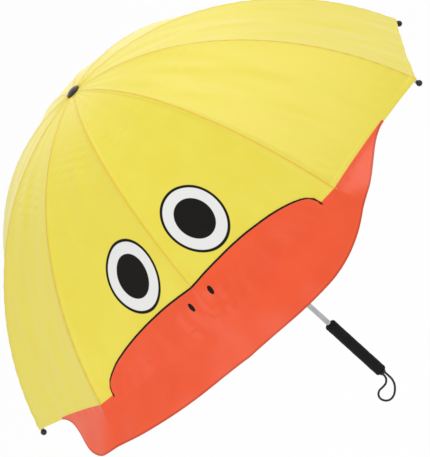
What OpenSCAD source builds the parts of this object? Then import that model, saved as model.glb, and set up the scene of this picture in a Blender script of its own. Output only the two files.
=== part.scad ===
// Children's umbrella with a duck-bill visor, open, upright, in millimetres.
// The origin is the middle of the grip, the shaft lies on Z and the bill points to -Y.

/* [Shaft] */
// Outside diameter of the steel tube
shaft_d = 7; // [6:0.5:9]
// Wall of the steel tube
shaft_wall = 0.8; // [0.6:0.1:1.2]
// Height of the canopy's apex above the middle of the grip
apex_rise = 516; // [490:1:560]

/* [Grip] */
// Length of the foam sleeve
grip_len = 100; // [80:1:120]
// Diameter of the foam sleeve
grip_d = 16; // [14:0.5:22]
// Rounding of the foam sleeve's ends
grip_round = 3; // [2:0.25:3]
// Diameter of the end plug's flange
plug_d = 9.2; // [9:0.1:11]
// Height of the end plug's flange
plug_h = 3; // [2.5:0.5:6]
// Depth of the plug's stem in the tube
plug_stem = 16; // [10:1:25]
// Diameter of the wrist cord
cord_d = 3; // [2:0.1:3.4]

/* [Canopy] */
// Number of ribs and of cloth panels
rib_count = 10; // [8:1:10]
// Radius of the meridian arc around the apex
crown_arc_r = 340; // [320:1:360]
// Sweep of the arc around the apex
crown_arc_deg = 35; // [34:0.5:37]
// Radius of the meridian arc down to the rim
rim_arc_r = 425; // [400:1:450]
// Sweep of the arc down to the cloth's rim
rim_arc_deg = 34.5; // [30:0.1:36]
// Thickness of the canopy cloth
cloth_t = 0.8; // [0.6:0.1:1]
// Rise of the rim between two ribs
rim_rise = 4; // [2:1:12]
// How far the front panels are cut back for the bill
front_cut = 29; // [16:1:32]
// Radius of the opening at the apex
canopy_hole_r = 8; // [7:0.5:9]
// Gap between two neighbouring panels
panel_gap = 0.4; // [0.3:0.05:0.6]

/* [Bill] */
// Reach of the visor past the front panels
visor_reach = 52; // [46:1:64]
// Slope of the visor below the horizontal
visor_slope_deg = 62; // [50:1:66]
// Half angle of the whole bill, seen from above
bill_half_deg = 58; // [50:1:66]
// Half angle at which the visor's drawn-in ends begin
bill_full_deg = 40; // [38:1:46]
// Half angle of the arch on the front panels
arch_half_deg = 32; // [28:1:35]
// Height of the arch above the front rim
arch_rise = 56; // [40:1:80]
// Height of the arch's feet above the front rim
arch_foot = 10; // [6:1:20]
// Thickness of the doubled bill cloth
bill_t = 1; // [0.8:0.1:1.4]

/* [Ribs] */
// Width of the rib channel
rib_w = 2.6; // [2.4:0.1:3]
// Height of the rib channel
rib_h = 3; // [2.6:0.1:3.4]
// Sheet thickness of ribs and stretchers
steel_t = 0.6; // [0.5:0.05:0.65]
// Rib length past the cloth's rim
rib_over = 3.5; // [3:0.5:6]
// Radius at which the channel begins
rib_start_r = 24; // [20:1:30]
// Diameter of the ball tips
tip_d = 8; // [7:0.5:9]
// Diameter of the tips' sleeves
tip_sleeve_d = 4.8; // [4.6:0.1:5.4]
// Length of the tips' sleeves
tip_sleeve = 2.5; // [2:0.25:3]

/* [Linkage] */
// Radius of the pivots in the crown and in the runner
pivot_r = 11; // [10.5:0.25:13]
// Depth of the crown pivots below the apex
pivot_drop = 6.5; // [6.2:0.1:8]
// Diameter of the crown wire
wire_d = 1.2; // [1:0.1:1.4]
// Outside diameter of the eyes on the wire
eye_d = 3.8; // [3.4:0.1:4]
// Place of the stretcher lug along the arc around the apex
lug_deg = 32; // [24:1:33]
// Depth of the lug pivot below the rib's centre line
lug_drop = 4.4; // [4.2:0.1:6]
// Thickness of the lug
lug_t = 1.2; // [1:0.1:1.3]
// Diameter of the lug's stud
stud_d = 2; // [1.6:0.1:2.2]
// Outside diameter of the stretcher fork
fork_d = 4.4; // [4:0.1:4.6]
// Width of the stretcher channel
stretcher_w = 2.2; // [2:0.1:2.4]
// Height of the stretcher channel
stretcher_h = 2.6; // [2.2:0.1:3]
// Radius of the rib ends when the umbrella is closed
closed_tip_r = 15.5; // [15:0.5:20]

/* [Crown and runner] */
// Diameter of the crown
crown_d = 27; // [26:0.5:32]
// Height of the crown's top plate
crown_plate = 2.3; // [1.8:0.1:2.4]
// Height of the whole crown
crown_h = 14; // [12:0.5:20]
// Length of the runner
runner_len = 46; // [40:1:60]
// Diameter of the runner's barrel
barrel_d = 12.4; // [11.6:0.2:14]
// Diameter of the runner's slotted flange
flange_d = 29; // [28:0.5:34]
// Height of the runner's slotted flange
flange_h = 7; // [6:0.5:9]
// Diameter of the runner's thumb ring
thumb_d = 17; // [15:0.5:20]
// Height of the runner's thumb ring
thumb_h = 6; // [4:0.5:8]
// Diameter of the top cap
cap_d = 20; // [18:0.5:26]
// Height of the cap's rim
cap_rim = 1.8; // [1.2:0.1:2.4]
// Height of the cap's dome
cap_dome = 3; // [2:0.25:5]
// Diameter of the pin that stops the runner
stop_d = 1.6; // [1.4:0.1:2]
// Length of the pin that stops the runner
stop_len = 11; // [9:0.5:12]

/* [Catches] */
// Width of the catches
catch_w = 3; // [2.4:0.1:3.2]
// Height of the catches
catch_h = 10; // [8:0.5:12]
// Reach of the catches past the tube
catch_out = 1.9; // [1.4:0.1:2.4]
// Depth of the catches inside the tube's outer face
catch_in = 2.2; // [1.8:0.1:2.6]
// Height of the runner's window for the lower catch
window_h = 14; // [13:0.5:18]

/* [Closing band] */
// Length of the closing band
band_len = 130; // [100:1:160]
// Width of the closing band
band_w = 16; // [12:1:22]
// Diameter of the press stud
press_stud_d = 9; // [7:0.5:11]
// Height of the press stud
press_stud_h = 1.8; // [1.2:0.1:2.4]
// Distance of the band's free end from the rim
band_up = 48; // [40:1:70]

/* [Hidden] */
$fn = 48;
fit_gap = 0.05;
eye_gap = 0.1;
side_gap = 0.2;
free_gap = 0.4;
over = 1;
shaft_r = shaft_d / 2;
tube_r = shaft_r - shaft_wall;
step = 360 / rib_count;
bill_gap = 0.75;
sew_in = 0.1;
rib_gap = 0.8;

// Meridian: arc lengths, slopes and radii of the canopy's outer face
crown_len = crown_arc_r * crown_arc_deg * PI / 180;
rim_s = crown_len + rim_arc_r * rim_arc_deg * PI / 180;
rim_deg = crown_arc_deg + rim_arc_deg;
end_deg = rim_deg + rib_over / rim_arc_r * 180 / PI;
hole_s = asin(canopy_hole_r / crown_arc_r) * crown_arc_r * PI / 180;
rim_centre = [(crown_arc_r - rim_arc_r) * sin(crown_arc_deg),
              apex_rise - crown_arc_r + (crown_arc_r - rim_arc_r) * cos(crown_arc_deg)];
rib_off = cloth_t + rib_gap + rib_h / 2;

// Slope at an arc length from the apex
function slope(s) = s <= crown_len ? s / crown_arc_r * 180 / PI
                                   : crown_arc_deg + (s - crown_len) / rim_arc_r * 180 / PI;
// Point of the meridian at a slope, lifted off the outer face, as [radius, height]
function meridian(a, lift) = a <= crown_arc_deg
    ? [(crown_arc_r + lift) * sin(a), apex_rise - crown_arc_r + (crown_arc_r + lift) * cos(a)]
    : rim_centre + (rim_arc_r + lift) * [sin(a), cos(a)];
// Direction of a rib seen from above, and the direction across it
function radial(phi) = [sin(phi), -cos(phi)];
function across(phi) = [cos(phi), sin(phi)];
// Rise of the rim at a share of a panel's width
function scallop(t) = rim_rise * 4 * t * (1 - t);
// Angle from the front, and the rim's arc length there: the front panels are cut back for the bill
function from_front(phi) = let (p = phi % 360) min(abs(p), 360 - abs(p));
function rim_line(phi) = rim_s - front_cut * min(max(2 - from_front(phi) / step, 0), 1);
function rim_at(phi) = let (turn = phi / step) rim_line(phi) - scallop(turn - floor(turn));
function mix(a, b, t) = a + (b - a) * t;
function ease(t) = let (c = min(max(t, 0), 1)) c * c * (3 - 2 * c);

// Linkage: crown pivot, lug pivot and runner pivot as [radius, height]
crown_pivot = [pivot_r, apex_rise - pivot_drop];
lug_pivot = meridian(lug_deg, -rib_off - lug_drop);
runner_pivot = [pivot_r, 2 * lug_pivot[1] - crown_pivot[1]];
rib_end = meridian(end_deg, -rib_off);
rib_start_deg = asin(rib_start_r / (crown_arc_r - rib_off));
rib_start = meridian(rib_start_deg, -rib_off);
strut = norm(lug_pivot - crown_pivot);
strut_deg = atan2(crown_pivot[1] - lug_pivot[1], lug_pivot[0] - crown_pivot[0]);
rib_chord = norm(rib_end - crown_pivot);
rib_chord_deg = atan2(crown_pivot[1] - rib_end[1], rib_end[0] - crown_pivot[0]);
fold_deg = 90 - asin((closed_tip_r - pivot_r) / rib_chord) - rib_chord_deg;
travel = 2 * strut * (sin(strut_deg + fold_deg) - sin(strut_deg));
slot_floor = pivot_r - eye_d / 2 - free_gap;
slot_w = max(rib_w, stretcher_w) + 2 * free_gap;
fork_w = lug_t + 2 * side_gap + 2 * steel_t;

// Runner and catches: heights at rest
runner_top = runner_pivot[1] + flange_h / 2;
runner_low = runner_top - runner_len;
top_catch_top = runner_low - free_gap;
window_mid = (runner_top - flange_h + runner_low + thumb_h) / 2;
low_catch_mid = window_mid - travel;

// Route of the wrist cord, from the plug round the loop and back
plug_low = -grip_len / 2 - plug_h;
cord_gap = 1.9;
cord_route = [for (p = [
    [cord_gap, 0, 0], [2, 0, -7], [2, -1.5, -14], [0, -4, -20.5], [-4.5, -6.5, -26], [-10.5, -8.5, -30],
    [-17.5, -9.5, -31], [-23.5, -9, -28], [-26.5, -8, -22], [-25, -7, -16], [-20, -6, -12.5], [-13.5, -5, -12.5],
    [-7.5, -3.5, -12], [-3.5, -1.5, -9], [-cord_gap, -0.5, -5], [-cord_gap, 0, 0]]) p + [0, 0, plug_low]];

echo(crown_pivot = crown_pivot, lug_pivot = lug_pivot, runner_pivot = runner_pivot, rib_end = rib_end);
echo(fold_deg = fold_deg, travel = travel, runner_low = runner_low, low_catch_mid = low_catch_mid);
echo(top_catch_top = top_catch_top, plug_low = plug_low, rim = meridian(rim_deg, 0), rim_s = rim_s);

function names(stem) = [for (k = [1:rib_count]) str(stem, "_", k)];

// Turns a shape from the XZ plane of a rib, radius along X, to its place around the shaft
module at_rib(k) {
    rotate([0, 0, (k - 1) * step - 90]) children();
}

// A cylinder across a rib's plane, at a point given as [radius, height]
module cross_pin(p, d, w) {
    translate([p[0], 0, p[1]]) rotate([90, 0, 0]) cylinder(d = d, h = w, center = true);
}

// A channel of sheet steel, open below, as an outline with the height along X
module channel_outline(w, h) {
    polygon([[-h / 2, -w / 2], [h / 2, -w / 2], [h / 2, w / 2], [-h / 2, w / 2],
             [-h / 2, w / 2 - steel_t], [h / 2 - steel_t, w / 2 - steel_t],
             [h / 2 - steel_t, steel_t - w / 2], [-h / 2, steel_t - w / 2]]);
}

// One stretch of the rib channel along an arc of the meridian
module rib_arc(centre, r, from_deg, to_deg) {
    translate([centre[0], 0, centre[1]]) rotate([90, 0, 0]) rotate([0, 0, 90 - to_deg])
        rotate_extrude(angle = to_deg - from_deg, $fn = 180)
            translate([r - rib_off, 0]) channel_outline(rib_w, rib_h);
}

// A flat bar between two points of a rib's plane
module bar(p, q, w, h, past = 0) {
    d = q - p;
    translate([p[0], 0, p[1]]) rotate([0, -atan2(d[1], d[0]), 0])
        translate([0, -w / 2, -h / 2]) cube([norm(d) + past, w, h]);
}

// A closed sheet between two grids of points, rows down the canopy and columns across it
module sheet(outer, inner) {
    n = len(outer) - 1;
    m = len(outer[0]) - 1;
    count = (n + 1) * (m + 1);
    o = [for (row = outer) each row];
    i_pts = [for (row = inner) each row];
    function at(i, j) = i * (m + 1) + j;
    function un(i, j) = count + at(i, j);
    faces = concat(
        [for (i = [0:n - 1], j = [0:m - 1]) each [
            [at(i, j), at(i, j + 1), at(i + 1, j + 1)], [at(i, j), at(i + 1, j + 1), at(i + 1, j)],
            [un(i, j), un(i + 1, j + 1), un(i, j + 1)], [un(i, j), un(i + 1, j), un(i + 1, j + 1)]]],
        [for (i = [0:n - 1]) each [
            [at(i, 0), at(i + 1, 0), un(i + 1, 0)], [at(i, 0), un(i + 1, 0), un(i, 0)],
            [at(i + 1, m), at(i, m), un(i, m)], [at(i + 1, m), un(i, m), un(i + 1, m)]]],
        [for (j = [0:m - 1]) each [
            [at(0, j + 1), at(0, j), un(0, j)], [at(0, j + 1), un(0, j), un(0, j + 1)],
            [at(n, j), at(n, j + 1), un(n, j + 1)], [at(n, j), un(n, j + 1), un(n, j)]]]);
    polyhedron(points = concat(o, i_pts), faces = faces, convexity = 6);
}

// Point of a panel's cloth: panel k, share t of its width, arc length s, lift off the outer face
seam_lap = rib_w / 2 + side_gap;
function panel_pt(k, t, s, lift) =
    let (m = meridian(slope(s), lift),
         near = (k - 1) * step,
         far = k * step,
         p = radial(near) * m[0] - across(near) * seam_lap,
         q = radial(far) * m[0] - across(far) * (seam_lap + panel_gap),
         c = mix(p, q, t))
    [c[0], c[1], m[1]];

panel_rows = 14;
panel_cols = 6;
function panel_grid(k, lift) =
    [for (i = [0:panel_rows]) [for (j = [0:panel_cols])
        let (t = j / panel_cols)
        panel_pt(k, t, mix(hole_s, rim_at((k - 1 + t) * step), i / panel_rows), lift)]];

// Point of the bill's cloth: angle from the front, arc length s, lift off the canopy's outer face
function bill_pt(phi, s, lift) =
    let (turn = phi / step,
         base = floor(turn),
         t = turn - base,
         past = max(s - rim_line(phi), 0),
         m = meridian(slope(s - past), lift) + past * [cos(visor_slope_deg), -sin(visor_slope_deg)],
         chord = mix(radial(base * step), radial((base + 1) * step), t),
         c = mix(chord, radial(phi), ease(past / visor_reach)) * m[0])
    [c[0], c[1], m[1]];

// Upper border and free edge of the bill, as arc lengths from the apex
bill_hem = 3;
function arch(phi) = abs(phi) >= arch_half_deg ? 0
    : arch_foot + (arch_rise - arch_foot) * sqrt(1 - pow(phi / arch_half_deg, 2));
function bill_top(phi) = min(rim_at(phi) - bill_hem, rim_line(phi) - arch(phi));
function bill_end(phi) = let (u = (abs(phi) - bill_full_deg) / (bill_half_deg - bill_full_deg))
    mix(rim_line(phi) + visor_reach, rim_at(phi), ease(u));
// The bill stands off the ball tips below it
tip_rise = tip_d / 2 - rib_off + free_gap;
function bill_lift(phi, s) = bill_gap + max(tip_rise - bill_gap, 0) * ease((s - rim_line(phi)) / front_cut);

// Columns of the bill: it bends on the front rib and on the two beside it
bill_rows = 12;
bill_cols = 40;
end_cols = 8;
function bill_phi(j) = j < end_cols ? mix(-bill_half_deg, -step, j / end_cols)
    : j > bill_cols - end_cols ? mix(step, bill_half_deg, (j - bill_cols + end_cols) / end_cols)
    : mix(-step, step, (j - end_cols) / (bill_cols - 2 * end_cols));
// Its upper border is sewn down on the first panel
function sewn(i, phi) = i == 0 && phi > 0 && phi < step;
function bill_grid(extra) =
    [for (i = [0:bill_rows]) [for (j = [0:bill_cols])
        let (phi = bill_phi(j),
             s = mix(bill_top(phi), bill_end(phi), i / bill_rows),
             low = sewn(i, phi) && extra == 0 ? -sew_in : bill_lift(phi, s))
        bill_pt(phi, s, low + extra)]];

// Point of the closing band on the outside of a back panel
band_panel = floor(rib_count / 2) + 1;
band_t = 0.3;
band_from = rim_s - band_len - band_up;
function band_pt(share, side, lift) =
    let (s = band_from + band_len * share,
         p = panel_pt(band_panel, band_t, s, lift),
         q = panel_pt(band_panel, 1, s, lift),
         along = (q - p) / norm(q - p))
    p + along * side * band_w / 2;
band_rows = 8;
function band_grid(lift) =
    [for (i = [0:band_rows]) [for (side = [-1, 0, 1]) band_pt(i / band_rows, side, lift)]];

// Steel tube, with the slots of the two catches and the hole of the stop pin
module shaft() {
    low = -grip_len / 2;
    color("silver") difference() {
        translate([0, 0, low]) cylinder(r = shaft_r, h = apex_rise - over - low);
        translate([0, 0, low - over]) cylinder(r = tube_r, h = apex_rise - low + 2 * over);
        catch_slot(top_catch_top - catch_h / 2);
        catch_slot(low_catch_mid);
        stop_hole();
    }
}

module catch_slot(mid) {
    w = catch_w + 2 * free_gap;
    h = catch_h + 2 * free_gap;
    translate([-w / 2, 0, mid - h / 2]) cube([w, shaft_r + over, h]);
}

stop_z = runner_top + free_gap + stop_d / 2;
module stop_hole() {
    translate([0, 0, stop_z]) rotate([0, 90, 0]) cylinder(d = stop_d, h = shaft_d + 2 * over, center = true);
}

// Pin through the tube above the open runner
module runner_stop() {
    color("silver") translate([0, 0, stop_z]) rotate([0, 90, 0])
        cylinder(d = stop_d, h = stop_len, center = true);
}

// Low round button over the apex, with its stem in the tube
module top_cap() {
    base = apex_rise + side_gap;
    dome_r = (pow(cap_d / 2, 2) + cap_dome * cap_dome) / (2 * cap_dome);
    color("black") union() {
        translate([0, 0, base]) cylinder(d = cap_d, h = cap_rim);
        intersection() {
            translate([0, 0, base + cap_rim]) cylinder(d = cap_d, h = cap_dome);
            translate([0, 0, base + cap_rim + cap_dome - dome_r]) sphere(r = dome_r, $fn = 96);
        }
        translate([0, 0, apex_rise - crown_h]) cylinder(r = tube_r, h = crown_h + side_gap + over);
    }
}

// Height of the crown's top face below the apex
crown_drop = 2;

// Notched wheel that the ribs hinge in, fixed on the top of the tube
module crown() {
    top = apex_rise - crown_drop;
    color("black") difference() {
        union() {
            translate([0, 0, top - crown_h]) cylinder(r = slot_floor, h = crown_h);
            translate([0, 0, crown_pivot[1] - eye_d / 2 - free_gap])
                cylinder(d = crown_d, h = top - crown_pivot[1] + eye_d / 2 + free_gap);
        }
        translate([0, 0, top - crown_h - over]) cylinder(r = shaft_r, h = crown_h + 2 * over);
        for (k = [1:rib_count]) at_rib(k)
            translate([slot_floor, -slot_w / 2, top - crown_h - over])
                cube([crown_d, slot_w, crown_h + over - crown_plate]);
        wire_ring(wire_d + 2 * fit_gap);
    }
}

// A wire bent into a ring through the ribs' eyes
module wire_ring(d) {
    translate([0, 0, crown_pivot[1]]) rotate_extrude($fn = 96) translate([pivot_r, 0]) circle(d = d);
}

module crown_wire() {
    color("silver") wire_ring(wire_d);
}

// Cloth washer between the crown and the canopy
rosette_t = 0.5;
module rosette() {
    color("black") translate([0, 0, apex_rise - crown_drop]) difference() {
        cylinder(d = crown_d, h = rosette_t);
        translate([0, 0, -over]) cylinder(r = shaft_r, h = rosette_t + 2 * over);
    }
}

// Curved channel in two lengths on a splice, with its eye on the crown wire and its stretcher lug
splice_deg = 0.06;
module rib(k) {
    lug_root = meridian(lug_deg, -rib_off + rib_h / 2 - steel_t / 2);
    color("gray") at_rib(k) difference() {
        union() {
            rib_arc([0, apex_rise - crown_arc_r], crown_arc_r, rib_start_deg, crown_arc_deg - splice_deg);
            rib_arc(rim_centre, rim_arc_r, crown_arc_deg + splice_deg, end_deg);
            bar(meridian(crown_arc_deg - 10 * splice_deg, -rib_off),
                meridian(crown_arc_deg + 10 * splice_deg, -rib_off), rib_w - steel_t, rib_h - steel_t);
            bar(crown_pivot, rib_start, rib_w, rib_h - steel_t, 2 * rib_h);
            cross_pin(crown_pivot, eye_d, rib_w);
            bar(lug_root, lug_pivot, lug_t, fork_d);
            cross_pin(lug_pivot, fork_d, lug_t);
            cross_pin(lug_pivot, stud_d, fork_w + side_gap);
        }
        cross_pin(crown_pivot, wire_d + 2 * eye_gap, rib_w + over);
    }
}

// Moulded ball with its sleeve on the rib's end
module rib_tip(k) {
    color("black") at_rib(k) translate([rib_end[0], 0, rib_end[1]]) rotate([0, 90 + end_deg, 0])
        difference() {
            union() {
                translate([0, 0, -tip_sleeve]) cylinder(d = tip_sleeve_d, h = tip_sleeve);
                translate([0, 0, tip_d / 4]) sphere(d = tip_d);
            }
            translate([-rib_h / 2, -rib_w / 2, -tip_sleeve - over]) cube([rib_h, rib_w, tip_sleeve + over]);
        }
}

// Channel strut with a fork on the lug and an eye in the runner's slot
module stretcher(k) {
    d = (runner_pivot - lug_pivot) / strut;
    fork_len = fork_d;
    bar_from = lug_pivot + d * fork_len;
    color("gray") at_rib(k) difference() {
        union() {
            cross_pin(lug_pivot, fork_d, fork_w);
            bar(lug_pivot, bar_from, fork_w, stretcher_h, fork_len);
            translate([bar_from[0], 0, bar_from[1]]) rotate([0, -atan2(d[1], d[0]), 0]) rotate([0, 90, 0])
                linear_extrude(height = strut - fork_len) rotate([0, 0, 180])
                    channel_outline(stretcher_w, stretcher_h);
            cross_pin(runner_pivot, eye_d, stretcher_w);
        }
        cross_pin(lug_pivot, fork_d + over, lug_t + 2 * side_gap);
        bar(lug_pivot, bar_from, lug_t + 2 * side_gap, fork_d + over);
        cross_pin(lug_pivot, stud_d + 2 * fit_gap, fork_w + over);
        cross_pin(runner_pivot, wire_d + 2 * fit_gap, stretcher_w + over);
    }
}

// Cloth panel from rib k to the next, straight across and drawn up at the rim
module panel(k) {
    color("gold") sheet(panel_grid(k, 0), panel_grid(k, -cloth_t));
}

// Sliding sleeve with a slotted flange above, a thumb ring below and a window for the catch
module runner() {
    color("black") difference() {
        union() {
            translate([0, 0, runner_low]) cylinder(d = barrel_d, h = runner_len);
            translate([0, 0, runner_top - flange_h]) cylinder(d = flange_d, h = flange_h);
            translate([0, 0, runner_low]) cylinder(d = thumb_d, h = thumb_h);
        }
        translate([0, 0, runner_low - over]) cylinder(r = shaft_r + fit_gap, h = runner_len + 2 * over);
        for (k = [1:rib_count]) at_rib(k)
            translate([slot_floor, -slot_w / 2, runner_top - flange_h - over])
                cube([flange_d, slot_w, flange_h + 2 * over]);
        translate([-catch_w / 2 - free_gap, 0, window_mid - window_h / 2])
            cube([catch_w + 2 * free_gap, barrel_d, window_h]);
    }
}

// Sprung wedge in a slot of the tube: its flat face holds, its slope lets the runner pass
module catch_wedge() {
    translate([-catch_w / 2, shaft_r, 0]) rotate([90, 0, 90]) linear_extrude(height = catch_w)
        polygon([[-catch_in, -catch_h / 2], [0, -catch_h / 2], [catch_out, catch_h / 4],
                 [catch_out, catch_h / 2], [-catch_in, catch_h / 2]]);
}

module top_catch() {
    color("silver") translate([0, 0, top_catch_top - catch_h / 2]) catch_wedge();
}

module bottom_catch() {
    color("silver") translate([0, 0, low_catch_mid]) mirror([0, 0, 1]) catch_wedge();
}

// Foam sleeve with rounded ends on the lower tube
module foam_grip() {
    r = grip_d / 2;
    half = grip_len / 2;
    color("black") difference() {
        union() {
            translate([0, 0, grip_round - half]) cylinder(r = r, h = grip_len - 2 * grip_round);
            translate([0, 0, -half]) cylinder(r = r - grip_round, h = grip_len);
            for (z = [grip_round - half, half - grip_round]) translate([0, 0, z])
                rotate_extrude() translate([r - grip_round, 0]) circle(r = grip_round);
        }
        translate([0, 0, -half - over]) cylinder(r = shaft_r, h = grip_len + 2 * over);
    }
}

// Plug in the tube's lower end, which carries the wrist cord
module grip_plug() {
    color("black") union() {
        translate([0, 0, plug_low]) cylinder(d = plug_d, h = plug_h);
        translate([0, 0, -grip_len / 2]) cylinder(r = tube_r, h = plug_stem);
    }
}

// Round cord swept along its route, eight sides
cord_sides = 8;
module wrist_strap() {
    n = len(cord_route);
    function dir(i) = let (v = cord_route[min(i + 1, n - 1)] - cord_route[max(i - 1, 0)]) v / norm(v);
    function ring(i) =
        let (w = i == 0 || i == n - 1 ? [0, 0, i == 0 ? -1 : 1] : dir(i),
             side = [0, 1, 0] - w * w[1],
             u = side / norm(side),
             v = cross(w, u))
        [for (j = [0:cord_sides - 1]) let (a = 360 * j / cord_sides)
            cord_route[i] + cord_d / 2 * (cos(a) * u + sin(a) * v)];
    pts = [for (i = [0:n - 1]) each ring(i)];
    function id(i, j) = i * cord_sides + j % cord_sides;
    walls = [for (i = [0:n - 2], j = [0:cord_sides - 1]) each [
        [id(i, j), id(i + 1, j), id(i + 1, j + 1)], [id(i, j), id(i + 1, j + 1), id(i, j + 1)]]];
    ends = [[for (j = [0:cord_sides - 1]) id(0, j)],
            [for (j = [0:cord_sides - 1]) id(n - 1, cord_sides - 1 - j)]];
    color("black") polyhedron(points = pts, faces = concat(walls, ends), convexity = 6);
}

// Doubled cloth of the bill, on the front panels and out past the rim
module bill() {
    color("orangered") sheet(bill_grid(bill_t), bill_grid(0));
}

// Closing band, lying on a back panel
module tie_band() {
    color("gold") sheet(band_grid(bill_t), band_grid(0));
}

// Press stud at the closing band's free end
module press_studs() {
    stud = band_pt(1 - press_stud_d / band_len, 0, bill_t);
    s = band_from + band_len;
    color("silver") translate(stud) rotate([0, 0, (band_panel - 1 + 1 / 2) * step - 90])
        rotate([0, slope(s), 0]) cylinder(d = press_stud_d, h = press_stud_h, center = true);
}

shaft();
top_cap();
crown();
crown_wire();
rosette();
for (k = [1:rib_count]) {
    rib(k);
    rib_tip(k);
    stretcher(k);
    panel(k);
}
runner();
runner_stop();
top_catch();
bottom_catch();
foam_grip();
grip_plug();
wrist_strap();
bill();
tie_band();
press_studs();
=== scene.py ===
"""Looks of a children's umbrella with a bill-shaped visor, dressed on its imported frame."""

import logging
import math
from dataclasses import dataclass
from enum import Enum
from typing import Callable, Iterable, Sequence

import bpy
import numpy as np
from mathutils import Matrix, Vector


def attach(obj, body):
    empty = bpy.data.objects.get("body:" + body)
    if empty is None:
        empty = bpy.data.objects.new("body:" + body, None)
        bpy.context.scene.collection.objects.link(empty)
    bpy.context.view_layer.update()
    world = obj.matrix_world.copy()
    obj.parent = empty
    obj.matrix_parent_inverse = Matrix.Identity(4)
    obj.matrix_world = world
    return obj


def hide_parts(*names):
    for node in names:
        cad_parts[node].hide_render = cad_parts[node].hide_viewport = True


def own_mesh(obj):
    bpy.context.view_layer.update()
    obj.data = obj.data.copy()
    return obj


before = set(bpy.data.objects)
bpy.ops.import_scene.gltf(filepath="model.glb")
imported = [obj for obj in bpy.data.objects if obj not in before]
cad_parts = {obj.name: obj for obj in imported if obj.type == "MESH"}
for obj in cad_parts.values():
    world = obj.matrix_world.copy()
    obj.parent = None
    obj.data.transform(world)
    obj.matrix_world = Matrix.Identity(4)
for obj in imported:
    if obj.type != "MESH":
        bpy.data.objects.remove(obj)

LOG = logging.getLogger("umbrella")
GATHERED = 0.36  # share of its width that cloth near the rim keeps when the canopy is closed
NO_EDGE = 0.05  # distance that stands for an edge that isn't there, in metres
TURN = 2 * math.pi
Array = np.ndarray
Pair = tuple[float, float]
Triple = tuple[float, float, float]
Colour = Triple
Node = bpy.types.Node
Piece = bpy.types.Object
Socket = bpy.types.NodeSocket


class Side(Enum):
    """Half of a panel, named for the rib that carries it."""

    NEAR = "a"
    FAR = "b"


class ClothUse(Enum):
    """What a cloth finish is seen on."""

    OUTSIDE = "outside"
    EYES = "eyes"
    INSIDE = "inside"
    BILL = "bill"
    BAND = "band"


# Shader graph helpers


@dataclass
class Graph:
    """Short way of placing and linking nodes in one node tree."""

    tree: bpy.types.NodeTree

    def feed(self, socket: Socket, value: object) -> None:
        """Links a socket or sets a plain value on an input.

        Args:
            socket: the input.
            value: another node's output, or a plain value.
        """
        if isinstance(value, Socket):
            self.tree.links.new(value, socket)
        else:
            socket.default_value = value

    def feed_named(self, node: Node, **inputs: object) -> None:
        """Feeds a node's inputs by name, with _ for a space."""
        for name, value in inputs.items():
            self.feed(node.inputs[name.replace("_", " ")], value)

    def node(self, kind: str, *values: object, props: dict[str, object] | None = None, **inputs: object) -> Node:
        """Adds a shader node.

        Args:
            kind: Blender's type name of the node, without ShaderNode.
            values: values or sockets for its first inputs.
            props: attributes to set on it.
            inputs: values or sockets for inputs by name, with _ for a space.

        Returns:
            The new node.
        """
        made = self.tree.nodes.new(f"ShaderNode{kind}")
        for name, value in (props or {}).items():
            setattr(made, name, value)
        for socket, value in zip(made.inputs, values):
            self.feed(socket, value)
        self.feed_named(made, **inputs)
        return made

    def math(self, op: str, *values: object) -> Socket:
        """Gives the output of a math node on up to three values."""
        return self.node("Math", *values, props={"operation": op}).outputs[0]

    def vector(self, op: str, *values: object) -> Socket:
        """Gives the output of a vector math node."""
        made = self.node("VectorMath", *values, props={"operation": op})
        return made.outputs["Value" if op == "LENGTH" else "Vector"]

    def step(self, value: Socket, low: float, high: float, first: float = 0.0, last: float = 1.0) -> Socket:
        """Gives a smooth step of a value from low to high."""
        props = {"interpolation_type": "SMOOTHSTEP"}
        return self.node("MapRange", value, low, high, first, last, props=props).outputs[0]

    def blend(self, share: object, first: object, second: object) -> Socket:
        """Mixes two colours.

        Args:
            share: share of the second colour.
            first: colour or colour socket.
            second: colour or colour socket.

        Returns:
            The mixed colour's socket.
        """
        made = self.node("Mix", share, props={"data_type": "RGBA"})
        for socket, colour in zip(made.inputs[6:8], (first, second)):
            self.feed(socket, (*colour, 1.0) if isinstance(colour, tuple) else colour)
        return made.outputs[2]

    def bump(self, height: Socket, strength: float, distance: float) -> Socket:
        """Gives normals raised by a height."""
        return self.node("Bump", Height=height, Strength=strength, Distance=distance).outputs[0]

    def group(self, name: str, **inputs: object) -> Sequence[Socket]:
        """Places a shared effect with its own values and gives its outputs."""
        return self.node("Group", props={"node_tree": bpy.data.node_groups[name]}, **inputs).outputs

    def seen_plainly(self) -> Socket:
        """Tells the rays that show a surface from those that only carry its light.

        Returns:
            A socket with 1 for camera, glossy and transmission rays.
        """
        path = self.node("LightPath").outputs
        other = self.math("MAXIMUM", path["Is Glossy Ray"], path["Is Transmission Ray"])
        return self.math("MAXIMUM", path["Is Camera Ray"], other)


@dataclass(frozen=True)
class Effect:
    """A shared shader node group.

    Attributes:
        name: name of the group.
        wire: function that fills the group and gives its output sockets.
        outputs: names of its outputs, all plain values.
        inputs: first value of each input, or None for a vector.
    """

    name: str
    wire: Callable[[Graph, dict[str, Socket]], Sequence[Socket]]
    outputs: tuple[str, ...]
    inputs: dict[str, float | None]

    def build(self) -> None:
        """Makes the group."""
        tree = bpy.data.node_groups.new(self.name, "ShaderNodeTree")
        for name, value in self.inputs.items():
            kind = "NodeSocketVector" if value is None else "NodeSocketFloat"
            socket = tree.interface.new_socket(name, in_out="INPUT", socket_type=kind)
            if value is not None:
                socket.default_value = value
        for name in self.outputs:
            tree.interface.new_socket(name, in_out="OUTPUT", socket_type="NodeSocketFloat")
        given, result = tree.nodes.new("NodeGroupInput"), tree.nodes.new("NodeGroupOutput")
        sockets = {name: given.outputs[name] for name in self.inputs}
        for socket, made in zip(result.inputs, self.wire(Graph(tree), sockets)):
            tree.links.new(made, socket)


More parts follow.
